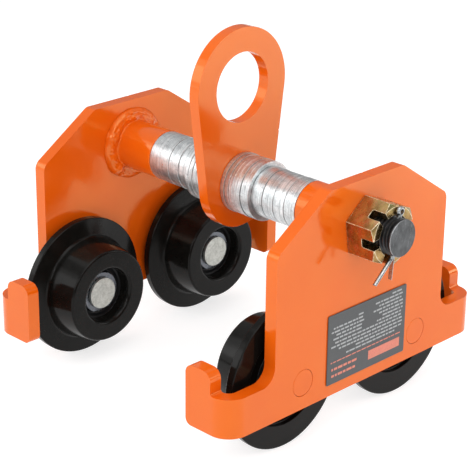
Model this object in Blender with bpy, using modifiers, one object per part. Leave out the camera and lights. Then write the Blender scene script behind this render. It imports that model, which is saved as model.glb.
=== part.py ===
"""Push beam trolley: two bent side plates, four flanged wheels and an eye plate on one shaft.

It stands on its wheel flanges with the eye up. X runs along the beam, Y along the load
shaft with the nut at -Y, and Z is up. The origin is on the floor, under the middle of the
part. Lengths are in metres and angles in degrees.
"""

import math

import bmesh
import bpy
from mathutils import Matrix, Vector

# Gap that pieces keep where they touch
SEAT = 0.0003

# Side plate, cut flat and folded inwards at both ends
PLATE_THICKNESS = 0.010
PLATE_HEIGHT = 0.154
PLATE_HALF_LENGTH = 0.088
PLATE_TOP_HALF = 0.0375
SHOULDER_HEIGHT = 0.1205
TOP_CORNER_R = 0.006
SHOULDER_CORNER_R = 0.008
ARM_HEIGHT = 0.029
ARM_FILLET_R = 0.012
TAB_TO_WHEEL = 0.0075
BEND_INNER_R = 0.006
TAB_DEPTH = 0.041
TAB_CORNER_R = 0.005
FINGER_WIDTH = 0.0236
FINGER_HEIGHT = 0.0455
FINGER_CORNER_R = 0.007
FINGER_ROOT_R = 0.002

# Wheel positions, from the plate's middle and its bottom edge
AXLE_OFFSET = 0.060
AXLE_ABOVE_EDGE = 0.020

# Wheel, turned in one piece
FLANGE_R = 0.054
FLANGE_THICKNESS = 0.006
FLANGE_RISE = 0.0025
FLANGE_EDGE = 0.0008
ROOT_FILLET = 0.0012
TREAD_WIDTH = 0.025
TREAD_ROOT_R = 0.040
TREAD_TIP_R = 0.036
HUB_EDGE = 0.002
HUB_OPENING_R = 0.021
HUB_MOUTH_R = 0.003
BACK_RECESS_R = 0.037
BACK_RECESS_DEPTH = 0.0035
WHEEL_TO_PLATE = 0.005

# Sealed ball bearing in each wheel
BEARING_R = 0.026
BEARING_BORE_R = 0.0125
BEARING_WIDTH = 0.015
INNER_RACE_R = 0.016
RACE_GAP = 0.0003
HUB_RECESS_DEPTH = 0.011

# Axle, riveted flush into the plate
RIVET_R = 0.010
AXLE_COLLAR_R = 0.016
AXLE_END_PROUD = 0.0045
AXLE_CHAMFER = 0.0004

# Spring rings that hold the bearing on the axle and in the wheel
RING_THICKNESS = 0.0015
RING_GROOVE_DEPTH = 0.001
AXLE_RING_R = 0.0158
BORE_RING_INNER_R = 0.0228
RING_OPENING = 50.0

# Load shaft, its threaded end, and how far it stands out at each end
SHAFT_R = 0.0135
SHAFT_ABOVE_EDGE = 0.119
SHAFT_OUT = 0.0323
SHAFT_TAIL = 0.0043
SHAFT_CHAMFER = 0.0008
TAIL_WELD_R = 0.0185

# Sleeves welded inside the plates, spacers and washers, from the plates to the eye
SLEEVE_R = 0.019
SLEEVE_LENGTH = 0.0396
WELD_WIDTH = 0.010
WELD_HEIGHT = 0.0065
SPACER_R = 0.019
SPACER_THICKNESS = 0.0102
SPACER_COUNT = 4
WASHER_R = 0.0225
WASHER_THICKNESS = 0.0037
WASHER_COUNT = 7
RING_BORE_GAP = 0.0004

# Eye plate
EYE_THICKNESS = 0.009
EYE_HEIGHT = 0.0716
EYE_R = 0.044
EYE_HOLE_R = 0.026
EYE_FOOT_R = 0.0344

# Castle nut
NUT_FLATS = 0.041
NUT_HEIGHT = 0.024
NUT_SLOT_WIDTH = 0.0068
NUT_SLOT_DEPTH = 0.0108
NUT_CHAMFER = 30.0
NUT_FACE_SHARE = 0.99
NUT_SIDES = 6
NUT_TURN = 8.0

# Cotter pin, a half-round wire folded double, which crosses the shaft in front of the nut
PIN_R = 0.0016
PIN_GAP = 0.0002
PIN_HOLE_R = 0.0021
PIN_TILT = -11.0
PIN_EYE_R = 0.0019
PIN_EYE_STAND = 0.0021
PIN_BEND_AT = 0.0154
PIN_SPLAYS = (37.0, 5.0)
PIN_LEGS = (0.0228, 0.0154)

# Data plate on the near side plate
LABEL_WIDTH = 0.083
LABEL_HEIGHT = 0.053
LABEL_THICKNESS = 0.0006
LABEL_CORNER_R = 0.001
LABEL_SHIFT = 0.005
LABEL_ABOVE_EDGE = 0.0355

# How finely round forms are divided
WHEEL_STEPS = 28
RING_STEPS = 18
SMALL_STEPS = 16
CORNER_STEPS = 4
BEND_STEPS = 6
WELD_STEPS = 4
EDGE_STEPS = 2
MOUTH_STEPS = 3
PIN_STEPS = 6
HOLE_STEPS = 24
SHARP_ANGLE = 35.0
MERGE = 0.00001
OVERCUT = 0.002

# Places that follow from the sizes above
STACK = SEAT + SLEEVE_LENGTH + SPACER_COUNT * (SPACER_THICKNESS + SEAT)
STACK += WASHER_COUNT * (WASHER_THICKNESS + SEAT) + SEAT
INNER_FACE = EYE_THICKNESS / 2 + STACK
OUTER_FACE = INNER_FACE + PLATE_THICKNESS
MIDDLE_Y = (SHAFT_OUT - SHAFT_TAIL) / 2
EDGE_Z = FLANGE_R - AXLE_ABOVE_EDGE
SHAFT_Z = EDGE_Z + SHAFT_ABOVE_EDGE
WHEEL_WIDTH = FLANGE_THICKNESS + FLANGE_RISE + TREAD_WIDTH
BEARING_FRONT = WHEEL_TO_PLATE + WHEEL_WIDTH - HUB_RECESS_DEPTH
BEARING_BACK = BEARING_FRONT - BEARING_WIDTH
AXLE_BORE_R = RIVET_R + SEAT
BEND_OUTER_R = BEND_INNER_R + PLATE_THICKNESS
BEND_MIDDLE_R = BEND_INNER_R + PLATE_THICKNESS / 2
BEND_LENGTH = BEND_MIDDLE_R * math.pi / 2
ARM_REACH = AXLE_OFFSET + FLANGE_R + TAB_TO_WHEEL + PLATE_THICKNESS
BEND_START = ARM_REACH - BEND_OUTER_R
PIN_Y = MIDDLE_Y - OUTER_FACE - SEAT - NUT_HEIGHT - SEAT - PIN_R

SIDES = {"near": -1, "far": 1}
ENDS = {"left": -1, "right": 1}

PARTS = bpy.data.collections.new("beam_trolley")
CUTTERS = bpy.data.collections.new("cutters")


def clear_scene():
    for obj in list(bpy.data.objects):
        bpy.data.objects.remove(obj, do_unlink=True)
    for collection in (PARTS, CUTTERS):
        bpy.context.scene.collection.children.link(collection)


def material(name, colour, metallic, roughness):
    made = bpy.data.materials.new(name)
    made.use_nodes = True
    shader = made.node_tree.nodes["Principled BSDF"]
    shader.inputs["Base Color"].default_value = (*colour, 1)
    shader.inputs["Metallic"].default_value = metallic
    shader.inputs["Roughness"].default_value = roughness
    return made


def finish(body, mesh):
    """Writes a closed body to the mesh with its faces outwards and its round sides smooth."""
    bmesh.ops.recalc_face_normals(body, faces=body.faces)
    if body.calc_volume(signed=True) < 0:
        bmesh.ops.reverse_faces(body, faces=body.faces)
    body.to_mesh(mesh)
    body.free()
    mesh.shade_smooth()
    mesh.set_sharp_from_angle(angle=math.radians(SHARP_ANGLE))


def baked(source):
    """The evaluated object as a plain mesh object of the same name and place."""
    bpy.context.view_layer.update()
    graph = bpy.context.evaluated_depsgraph_get()
    mesh = bpy.data.meshes.new_from_object(source.evaluated_get(graph))
    body = bmesh.new()
    body.from_mesh(mesh)
    bmesh.ops.remove_doubles(body, verts=body.verts, dist=MERGE)
    finish(body, mesh)
    name = source.name
    made = bpy.data.objects.new(name, mesh)
    made.matrix_world = source.matrix_world
    PARTS.objects.link(made)
    bpy.data.objects.remove(source)
    made.name = name
    return made


def rounded(corners):
    """Outline through (a, b, radius) corners, with an arc at each one that has a radius."""
    points = []
    for i, (a, b, radius) in enumerate(corners):
        corner = Vector((a, b))
        back = (Vector(corners[i - 1][:2]) - corner).normalized()
        on = (Vector(corners[(i + 1) % len(corners)][:2]) - corner).normalized()
        half = back.angle(on) / 2
        centre = corner + (back + on).normalized() * radius / math.sin(half)
        spoke = corner + back * radius / math.tan(half) - centre
        turn = math.copysign(math.pi - 2 * half, on.cross(back))
        for k in range(CORNER_STEPS + 1):
            arm = Matrix.Rotation(turn * k / CORNER_STEPS, 2) @ spoke
            points.append(tuple(centre + arm))
    return points


def circle(a, b, radius, steps=HOLE_STEPS):
    angles = [math.tau * k / steps for k in range(steps)]
    return [(a + radius * math.cos(t), b + radius * math.sin(t)) for t in angles]


def arc(radius, start, end, steps):
    """Points on a circle about the origin, with the angles in degrees."""
    angles = [math.radians(start + (end - start) * k / steps) for k in range(steps + 1)]
    return [(radius * math.cos(t), radius * math.sin(t)) for t in angles]


def flat_piece(name, outlines, thickness):
    """A plate in local XY with the first outline as its edge and the others as holes."""
    curve = bpy.data.curves.new(name, "CURVE")
    curve.dimensions = "2D"
    curve.fill_mode = "BOTH"
    curve.extrude = thickness / 2
    for outline in outlines:
        spline = curve.splines.new("POLY")
        spline.points.add(len(outline) - 1)
        for point, (a, b) in zip(spline.points, outline):
            point.co = (a, b, 0, 1)
        spline.use_cyclic_u = True
    source = bpy.data.objects.new(name, curve)
    PARTS.objects.link(source)
    return baked(source)


def turned(name, profile, steps=RING_STEPS, solid=False):
    """A revolve about local Z of (radius, height) points that run down the outer side."""
    mesh = bpy.data.meshes.new(name)
    edges = [(k, k + 1) for k in range(len(profile) - 1)]
    if not solid:
        edges.append((len(profile) - 1, 0))
    mesh.from_pydata([(radius, 0, height) for radius, height in profile], edges, [])
    source = bpy.data.objects.new(name, mesh)
    PARTS.objects.link(source)
    screw = source.modifiers.new("Revolve", "SCREW")
    screw.steps = steps
    screw.render_steps = steps
    screw.use_merge_vertices = True
    screw.merge_threshold = MERGE
    return baked(source)


def as_cutter(obj):
    PARTS.objects.unlink(obj)
    CUTTERS.objects.link(obj)
    obj.hide_render = True
    obj.display_type = "WIRE"
    return obj


def boolean(obj, other, operation="DIFFERENCE"):
    change = obj.modifiers.new(other.name, "BOOLEAN")
    change.operation = operation
    change.solver = "EXACT"
    change.object = other


def face_along(obj, side, place):
    """Turns local Z to point along Y, inwards from the side plate on that side."""
    obj.rotation_euler = (math.radians(90 * side), 0, 0)
    obj.location = place


def stand_up(obj, place, turn=0.0):
    """Turns local XY upright, facing -Y, after a turn in its own plane."""
    obj.rotation_euler = (math.radians(90), -math.radians(turn), 0)
    obj.location = place


def fold(obj, inwards):
    """Folds the blank's ends: local Z, the thickness, becomes the depth behind the face."""
    body = bmesh.new()
    body.from_mesh(obj.data)
    for end in ENDS.values():
        for k in range(BEND_STEPS + 1):
            line = end * (BEND_START + BEND_LENGTH * k / BEND_STEPS)
            everything = body.verts[:] + body.edges[:] + body.faces[:]
            bmesh.ops.bisect_plane(
                body, geom=everything, dist=MERGE, plane_co=(line, 0, 0), plane_no=(1, 0, 0)
            )
    for vert in body.verts:
        along, height, depth = vert.co
        depth += PLATE_THICKNESS / 2
        past = min(max(abs(along) - BEND_START, 0), BEND_LENGTH)
        beyond = max(abs(along) - BEND_START - BEND_LENGTH, 0)
        radius = BEND_OUTER_R - depth
        angle = past / BEND_MIDDLE_R
        x = min(abs(along), BEND_START) + radius * math.sin(angle)
        inward = BEND_OUTER_R - radius * math.cos(angle) + beyond
        vert.co = (math.copysign(x, along), inwards * inward, height)
    finish(body, obj.data)


def side_plate(name, side, look):
    """A plate with chamfered shoulders, and at both ends an arm, a fold and a raised finger."""
    blank_half = BEND_START + BEND_LENGTH + TAB_DEPTH - BEND_OUTER_R
    finger_in = blank_half - FINGER_WIDTH
    half = [
        (blank_half, 0, TAB_CORNER_R),
        (blank_half, FINGER_HEIGHT, FINGER_CORNER_R),
        (finger_in, FINGER_HEIGHT, FINGER_CORNER_R),
        (finger_in, ARM_HEIGHT, FINGER_ROOT_R),
        (PLATE_HALF_LENGTH, ARM_HEIGHT, ARM_FILLET_R),
        (PLATE_HALF_LENGTH, SHOULDER_HEIGHT, SHOULDER_CORNER_R),
        (PLATE_TOP_HALF, PLATE_HEIGHT, TOP_CORNER_R),
    ]
    mirrored = [(-a, b, radius) for a, b, radius in reversed(half)]
    holes = [circle(end * AXLE_OFFSET, AXLE_ABOVE_EDGE, AXLE_BORE_R) for end in ENDS.values()]
    holes.append(circle(0, SHAFT_ABOVE_EDGE, SHAFT_R + SEAT))
    plate = flat_piece(name, [rounded(half + mirrored), *holes], PLATE_THICKNESS)
    fold(plate, -side)
    plate.location = (0, MIDDLE_Y + side * OUTER_FACE, EDGE_Z)
    plate.data.materials.append(look)


def axle(name, side, place, look):
    """Riveted end in the plate, a collar, the bearing seat and the grooved end."""
    groove_top = BEARING_FRONT + SEAT + RING_THICKNESS + SEAT
    groove_r = BEARING_BORE_R - SEAT - RING_GROOVE_DEPTH
    seat_r = BEARING_BORE_R - SEAT
    end = BEARING_FRONT + AXLE_END_PROUD
    profile = [
        (0, end),
        (seat_r - AXLE_CHAMFER, end),
        (seat_r, end - AXLE_CHAMFER),
        (seat_r, groove_top),
        (groove_r, groove_top),
        (groove_r, BEARING_FRONT),
        (seat_r, BEARING_FRONT),
        (seat_r, BEARING_BACK - SEAT),
        (AXLE_COLLAR_R, BEARING_BACK - SEAT),
        (AXLE_COLLAR_R, SEAT),
        (RIVET_R, SEAT),
        (RIVET_R, -PLATE_THICKNESS),
        (0, -PLATE_THICKNESS),
    ]
    made = turned(name, profile, steps=SMALL_STEPS, solid=True)
    face_along(made, side, place)
    made.data.materials.append(look)


def wheel(name, side, place, look):
    """Flange by the plate, a coned tread towards the beam, and bearing seats from both faces."""
    back = WHEEL_TO_PLATE
    rim = back + FLANGE_THICKNESS
    root = rim + FLANGE_RISE
    tip = root + TREAD_WIDTH
    bore_r = BEARING_R + SEAT
    groove = BEARING_BACK - SEAT - RING_THICKNESS - SEAT
    edge = [
        (TREAD_TIP_R - HUB_EDGE + a, tip - HUB_EDGE + b)
        for a, b in arc(HUB_EDGE, 90, 0, EDGE_STEPS)
    ]
    mouth = [
        (HUB_OPENING_R + HUB_MOUTH_R + a, tip - HUB_MOUTH_R + b)
        for a, b in arc(HUB_MOUTH_R, 180, 90, MOUTH_STEPS)
    ]
    profile = [
        *edge,
        (TREAD_ROOT_R, root + ROOT_FILLET),
        (TREAD_ROOT_R + ROOT_FILLET, root),
        (FLANGE_R - FLANGE_EDGE, rim),
        (FLANGE_R, rim - FLANGE_EDGE),
        (FLANGE_R, back + FLANGE_EDGE),
        (FLANGE_R - FLANGE_EDGE, back),
        (BACK_RECESS_R, back),
        (BACK_RECESS_R, back + BACK_RECESS_DEPTH),
        (bore_r, back + BACK_RECESS_DEPTH),
        (bore_r, groove),
        (bore_r + RING_GROOVE_DEPTH, groove),
        (bore_r + RING_GROOVE_DEPTH, BEARING_BACK),
        (bore_r, BEARING_BACK),
        (bore_r, BEARING_FRONT + SEAT),
        (HUB_OPENING_R, BEARING_FRONT + SEAT),
        *mouth,
    ]
    made = turned(name, profile, steps=WHEEL_STEPS)
    face_along(made, side, place)
    made.data.materials.append(look)


def ring(name, inner_r, outer_r, low, high, side, place, look):
    profile = [(outer_r, high), (outer_r, low), (inner_r, low), (inner_r, high)]
    made = turned(name, profile)
    face_along(made, side, place)
    made.data.materials.append(look)


def spring_ring(name, inner_r, outer_r, height, side, place, look):
    """An open flat ring whose gap lies at the bottom."""
    start = -90 + RING_OPENING / 2
    end = 270 - RING_OPENING / 2
    outer = arc(outer_r, start, end, SMALL_STEPS)
    inner = arc(inner_r, end, start, SMALL_STEPS)
    made = flat_piece(name, [outer + inner], RING_THICKNESS)
    x, y, z = place
    stand_up(made, (x, y - side * (height + RING_THICKNESS / 2), z))
    made.data.materials.append(look)


def wheel_set(side_name, end_name, looks):
    """One axle with its bearing, spring rings and wheel. Heights count from the plate."""
    side = SIDES[side_name]
    tail = f"{side_name}_{end_name}"
    place = (ENDS[end_name] * AXLE_OFFSET, MIDDLE_Y + side * INNER_FACE, FLANGE_R)
    axle(f"axle_{tail}", side, place, looks["zinc"])
    wheel(f"wheel_{tail}", side, place, looks["black"])
    low, high = BEARING_BACK, BEARING_FRONT
    inner = (BEARING_BORE_R, INNER_RACE_R)
    outer = (INNER_RACE_R + RACE_GAP, BEARING_R)
    ring(f"bearing_inner_{tail}", *inner, low, high, side, place, looks["race"])
    ring(f"bearing_outer_{tail}", *outer, low, high, side, place, looks["seal"])
    axle_ring = (BEARING_BORE_R - RING_GROOVE_DEPTH, AXLE_RING_R)
    bore_ring = (BORE_RING_INNER_R, BEARING_R + RING_GROOVE_DEPTH)
    behind = low - SEAT - RING_THICKNESS
    spring_ring(f"axle_ring_{tail}", *axle_ring, high + SEAT, side, place, looks["race"])
    spring_ring(f"bore_ring_{tail}", *bore_ring, behind, side, place, looks["race"])


def sleeve(name, side, look):
    """Guide sleeve with the bulging weld bead at its foot."""
    inner_r = SHAFT_R + SEAT
    top = SEAT + SLEEVE_LENGTH
    bulge = arc(1, 90, 0, WELD_STEPS)
    bead = [(SLEEVE_R + WELD_WIDTH * a, SEAT + WELD_HEIGHT * b) for a, b in bulge]
    profile = [(inner_r, top), (SLEEVE_R, top), *bead, (inner_r, SEAT)]
    made = turned(name, profile)
    face_along(made, side, (0, MIDDLE_Y + side * INNER_FACE, SHAFT_Z))
    made.data.materials.append(look)


def stack(side_name, look):
    """Thin wide washers beside the eye, then thick narrow spacers up to the sleeve."""
    side = SIDES[side_name]
    bore_r = SHAFT_R + RING_BORE_GAP
    place = (0, MIDDLE_Y + side * INNER_FACE, SHAFT_Z)
    low = SEAT + SLEEVE_LENGTH
    for k in range(SPACER_COUNT):
        low += SEAT
        name = f"spacer_{side_name}_{k + 1}"
        ring(name, bore_r, SPACER_R, low, low + SPACER_THICKNESS, side, place, look)
        low += SPACER_THICKNESS
    for k in range(WASHER_COUNT):
        low += SEAT
        name = f"washer_{side_name}_{k + 1}"
        ring(name, bore_r, WASHER_R, low, low + WASHER_THICKNESS, side, place, look)
        low += WASHER_THICKNESS


def load_shaft(look):
    """Shaft with its tail welded flush into the far plate and a cross hole at the nut end."""
    end = OUTER_FACE + SHAFT_OUT
    tail = OUTER_FACE + SHAFT_TAIL
    profile = [
        (0, end),
        (SHAFT_R - SHAFT_CHAMFER, end),
        (SHAFT_R, end - SHAFT_CHAMFER),
        (SHAFT_R, -OUTER_FACE - SEAT),
        (TAIL_WELD_R, -OUTER_FACE - SEAT),
        (SHAFT_R, -tail),
        (0, -tail),
    ]
    shaft = turned("load_shaft", profile, solid=True)
    face_along(shaft, 1, (0, MIDDLE_Y, SHAFT_Z))
    reach = SHAFT_R + OVERCUT
    rod = [(0, reach), (PIN_HOLE_R, reach), (PIN_HOLE_R, -reach), (0, -reach)]
    hole = as_cutter(turned("pin_hole_cutter", rod, steps=SMALL_STEPS, solid=True))
    hole.rotation_euler = (0, -math.radians(PIN_TILT), 0)
    hole.location = (0, PIN_Y, SHAFT_Z)
    boolean(shaft, hole)
    shaft.data.materials.append(look)


def hinge_plate(look):
    """The eye plate, whose origin is on the shaft it swings on."""
    lean = math.degrees(math.asin((EYE_R - EYE_FOOT_R) / EYE_HEIGHT))
    head = [(a, b + EYE_HEIGHT) for a, b in arc(EYE_R, -lean, 180 + lean, WHEEL_STEPS)]
    foot = arc(EYE_FOOT_R, 180 + lean, 360 - lean, RING_STEPS)
    holes = [circle(0, EYE_HEIGHT, EYE_HOLE_R, WHEEL_STEPS), circle(0, 0, SHAFT_R + RING_BORE_GAP)]
    plate = flat_piece("eye_plate", [head + foot, *holes], EYE_THICKNESS)
    stand_up(plate, (0, MIDDLE_Y, SHAFT_Z))
    plate.data.materials.append(look)


def castle_nut(look):
    """Hexagon chamfered at its front, bored, with three slots cut right across it."""
    corner_r = NUT_FLATS / 2 / math.cos(math.pi / NUT_SIDES)
    body = bmesh.new()
    bmesh.ops.create_cone(
        body,
        cap_ends=True,
        segments=NUT_SIDES,
        radius1=corner_r,
        radius2=corner_r,
        depth=NUT_HEIGHT,
    )
    mesh = bpy.data.meshes.new("castle_nut")
    body.to_mesh(mesh)
    body.free()
    nut = bpy.data.objects.new("castle_nut", mesh)
    PARTS.objects.link(nut)

    face_r = NUT_FACE_SHARE * NUT_FLATS / 2
    rim_r = corner_r + OVERCUT
    top = NUT_HEIGHT / 2
    drop = (rim_r - face_r) * math.tan(math.radians(NUT_CHAMFER))
    under = -top - OVERCUT
    envelope = [(0, top), (face_r, top), (rim_r, top - drop), (rim_r, under), (0, under)]
    chamfer = as_cutter(turned("nut_chamfer_cutter", envelope, steps=WHEEL_STEPS, solid=True))
    bore_r = SHAFT_R + SEAT
    reach = NUT_HEIGHT
    rod = [(0, reach), (bore_r, reach), (bore_r, -reach), (0, -reach)]
    bore = as_cutter(turned("nut_bore_cutter", rod, steps=HOLE_STEPS, solid=True))
    cutters = [chamfer, bore]
    for k in range(NUT_SIDES // 2):
        body = bmesh.new()
        bmesh.ops.create_cube(body, size=1)
        depth = NUT_SLOT_DEPTH + OVERCUT
        size = Vector((2 * rim_r, NUT_SLOT_WIDTH, depth))
        bmesh.ops.scale(body, vec=size, verts=body.verts)
        lift = top - NUT_SLOT_DEPTH + depth / 2
        bmesh.ops.translate(body, vec=(0, 0, lift), verts=body.verts)
        turn = Matrix.Rotation(math.tau * k / NUT_SIDES, 3, "Z")
        bmesh.ops.rotate(body, matrix=turn, verts=body.verts)
        mesh = bpy.data.meshes.new("nut_slot_cutter")
        body.to_mesh(mesh)
        body.free()
        slot = bpy.data.objects.new(f"nut_slot_cutter_{k + 1}", mesh)
        PARTS.objects.link(slot)
        cutters.append(as_cutter(slot))

    place = (0, MIDDLE_Y - OUTER_FACE - SEAT - NUT_HEIGHT / 2, SHAFT_Z)
    for piece in (nut, *cutters):
        stand_up(piece, place, turn=NUT_TURN)
    boolean(nut, chamfer, "INTERSECT")
    for cutter in cutters[1:]:
        boolean(nut, cutter)
    nut.data.materials.append(look)


def cotter_path():
    """The wire's inner side in the pin's own plane: leg, eye and leg, with the eye at +Y."""
    half_gap = PIN_GAP / 2
    centre = SHAFT_R + PIN_EYE_STAND + PIN_EYE_R
    mouth = math.degrees(math.asin(half_gap / PIN_EYE_R))
    loop = [(a, b + centre) for a, b in arc(PIN_EYE_R, 270 - mouth, mouth - 90, SMALL_STEPS // 2)]
    legs = []
    for end, length, splay in zip((-1, 1), PIN_LEGS, PIN_SPLAYS):
        lean = math.radians(splay)
        tip_x = end * (half_gap + length * math.sin(lean))
        tip_y = -PIN_BEND_AT - length * math.cos(lean)
        legs.append([(tip_x, tip_y), (end * half_gap, -PIN_BEND_AT)])
    return legs[0] + loop + legs[1][::-1]


def cotter_pin(look):
    section = bpy.data.curves.new("pin_section", "CURVE")
    section.dimensions = "2D"
    half_round = arc(PIN_R, 90, 270, PIN_STEPS)
    spline = section.splines.new("POLY")
    spline.points.add(len(half_round) - 1)
    for point, (a, b) in zip(spline.points, half_round):
        point.co = (a, b, 0, 1)
    spline.use_cyclic_u = True
    guide = bpy.data.objects.new("pin_section", section)
    CUTTERS.objects.link(guide)
    guide.hide_render = True

    curve = bpy.data.curves.new("cotter_pin", "CURVE")
    curve.dimensions = "3D"
    curve.twist_mode = "Z_UP"
    curve.bevel_mode = "OBJECT"
    curve.bevel_object = guide
    curve.use_fill_caps = True
    path = cotter_path()
    spline = curve.splines.new("POLY")
    spline.points.add(len(path) - 1)
    for point, (a, b) in zip(spline.points, path):
        point.co = (a, b, 0, 1)
    source = bpy.data.objects.new("cotter_pin", curve)
    PARTS.objects.link(source)
    pin = baked(source)
    stand_up(pin, (0, PIN_Y, SHAFT_Z), turn=PIN_TILT)
    pin.data.materials.append(look)


def data_label(look):
    x = LABEL_WIDTH / 2
    y = LABEL_HEIGHT / 2
    corners = [(x, -y), (x, y), (-x, y), (-x, -y)]
    corners = [(a, b, LABEL_CORNER_R) for a, b in corners]
    label = flat_piece("data_label", [rounded(corners)], LABEL_THICKNESS)
    depth = OUTER_FACE + SEAT + LABEL_THICKNESS / 2
    stand_up(label, (LABEL_SHIFT, MIDDLE_Y - depth, EDGE_Z + LABEL_ABOVE_EDGE))
    label.data.materials.append(look)


def build():
    clear_scene()
    looks = {
        "orange": material("orange_paint", (0.90, 0.20, 0.04), 0.0, 0.3),
        "black": material("black_paint", (0.015, 0.014, 0.013), 0.0, 0.25),
        "zinc": material("zinc_plate", (0.72, 0.73, 0.74), 1.0, 0.3),
        "race": material("bearing_steel", (0.20, 0.20, 0.21), 1.0, 0.35),
        "seal": material("bearing_seal", (0.02, 0.02, 0.02), 0.0, 0.6),
        "yellow": material("yellow_zinc", (0.75, 0.60, 0.30), 1.0, 0.3),
        "oxide": material("black_oxide", (0.06, 0.06, 0.06), 0.7, 0.45),
        "label": material("label_grey", (0.17, 0.18, 0.19), 0.0, 0.5),
    }
    for side_name, side in SIDES.items():
        side_plate(f"side_plate_{side_name}", side, looks["orange"])
        sleeve(f"sleeve_{side_name}", side, looks["orange"])
        stack(side_name, looks["zinc"])
        for end_name in ENDS:
            wheel_set(side_name, end_name, looks)
    load_shaft(looks["oxide"])
    hinge_plate(looks["orange"])
    castle_nut(looks["yellow"])
    cotter_pin(looks["zinc"])
    data_label(looks["label"])


build()
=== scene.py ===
"""Looks of the push beam trolley: finer pieces, procedural materials, studio and camera.

Everything is in metres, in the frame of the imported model: X along the beam, Y along the
load shaft with the nut at -Y, Z up, and the floor at zero.
"""

import math
import random

import bmesh
import bpy
from mathutils import Matrix, Vector, noise


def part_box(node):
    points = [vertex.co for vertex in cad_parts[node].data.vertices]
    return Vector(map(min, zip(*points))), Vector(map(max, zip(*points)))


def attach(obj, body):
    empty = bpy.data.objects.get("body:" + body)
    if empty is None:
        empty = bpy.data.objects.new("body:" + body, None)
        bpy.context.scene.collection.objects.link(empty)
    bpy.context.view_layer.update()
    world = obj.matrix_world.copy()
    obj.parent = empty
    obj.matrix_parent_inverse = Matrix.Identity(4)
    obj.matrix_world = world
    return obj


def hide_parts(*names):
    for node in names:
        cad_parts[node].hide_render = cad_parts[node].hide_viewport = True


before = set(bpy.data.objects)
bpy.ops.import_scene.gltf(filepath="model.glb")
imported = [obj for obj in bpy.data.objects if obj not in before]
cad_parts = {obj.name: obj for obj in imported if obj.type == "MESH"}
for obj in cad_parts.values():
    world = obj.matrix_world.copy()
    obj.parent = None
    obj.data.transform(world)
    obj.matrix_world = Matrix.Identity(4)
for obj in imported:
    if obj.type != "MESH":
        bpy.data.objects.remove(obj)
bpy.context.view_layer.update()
SCENE = bpy.context.scene

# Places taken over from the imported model
SHAFT_Z = 0.153
MIDDLE_Y = 0.014
INNER_FACE = 0.1147
PLATE_THICKNESS = 0.010
OUTER_FACE = INNER_FACE + PLATE_THICKNESS
EDGE_Z = 0.034
AXLE_OFFSET = 0.060
AXLE_Z = 0.054
SEAT = 0.0003
SHAFT_R = 0.0135
SIDES = {"near": -1, "far": 1}
ENDS = {"left": -1, "right": 1}

# How finely forms are divided
FINE = 160
MEDIUM = 96
CORNER = 10
FILLET = 4
MERGE = 1e-6
FLAT_ANGLE = 0.2


# Mesh helpers


def rounded(corners, steps=CORNER, closed=True):
    """Points through (a, b, radius) corners, with an arc at each corner that has a radius."""
    points = []
    count = len(corners)
    for i, (a, b, radius) in enumerate(corners):
        inner = closed or 0 < i < count - 1
        if not radius or not inner:
            points.append((a, b))
            continue
        corner = Vector((a, b))
        back = (Vector(corners[i - 1][:2]) - corner).normalized()
        on = (Vector(corners[(i + 1) % count][:2]) - corner).normalized()
        half = back.angle(on) / 2
        centre = corner + (back + on).normalized() * radius / math.sin(half)
        spoke = corner + back * radius / math.tan(half) - centre
        turn = math.copysign(math.pi - 2 * half, on.cross(back))
        for k in range(steps + 1):
            points.append(tuple(centre + Matrix.Rotation(turn * k / steps, 2) @ spoke))
    return points


def arc(radius, start, end, steps):
    angles = [math.radians(start + (end - start) * k / steps) for k in range(steps + 1)]
    return [(radius * math.cos(t), radius * math.sin(t)) for t in angles]


def circle(a, b, radius, steps=MEDIUM):
    return [(a + x, b + y) for x, y in arc(radius, 0, 360 - 360 / steps, steps - 1)]


def stand(body, turn=0.0):
    """Turns a flat body by some degrees, then stands it up with its front to -Y."""
    spin = Matrix.Rotation(math.radians(turn), 4, "Z")
    matrix = Matrix.Rotation(math.radians(90), 4, "X") @ spin
    bmesh.ops.transform(body, matrix=matrix, verts=body.verts)


def closed_mesh(body, name):
    """A mesh of the closed body with its faces out, which uses the body up."""
    bmesh.ops.recalc_face_normals(body, faces=body.faces)
    if body.calc_volume(signed=True) < 0:
        bmesh.ops.reverse_faces(body, faces=body.faces)
    mesh = bpy.data.meshes.new(name)
    body.to_mesh(mesh)
    body.free()
    return mesh


def finished(body, name, sharp=40.0):
    """A closed mesh that is smooth between its sharp edges."""
    bmesh.ops.remove_doubles(body, verts=body.verts, dist=MERGE)
    bmesh.ops.dissolve_degenerate(body, edges=body.edges, dist=MERGE)
    mesh = closed_mesh(body, name)
    mesh.shade_smooth()
    mesh.set_sharp_from_angle(angle=math.radians(sharp))
    return mesh


def revolved(profile, steps=FINE, closed=True, shape=None):
    """A body turned about local Y from (radius, y) points. shape moves each point."""
    body = bmesh.new()
    columns = []
    for k in range(steps):
        t = math.tau * k / steps
        column = []
        for radius, y in profile:
            point = Vector((radius * math.cos(t), y, radius * math.sin(t)))
            if shape:
                point = shape(point, radius, y, t)
            column.append(body.verts.new(point))
        columns.append(column)
    count = len(profile)
    for k in range(steps):
        a, b = columns[k], columns[(k + 1) % steps]
        for i in range(count if closed else count - 1):
            j = (i + 1) % count
            body.faces.new((a[i], a[j], b[j], b[i]))
    return body


def piece(name, mesh, body, nodes=(), place=(0, 0, 0), looks=()):
    """Puts a mesh in the scene, rides it on its body and hides the imported parts it stands in
    for.
    """
    obj = bpy.data.objects.new(name, mesh)
    SCENE.collection.objects.link(obj)
    obj.location = place
    for look in looks:
        mesh.materials.append(look)
    normals = obj.modifiers.new("Normals", "WEIGHTED_NORMAL")
    normals.keep_sharp = True
    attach(obj, body)
    if nodes:
        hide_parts(*nodes)
    return obj


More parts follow.
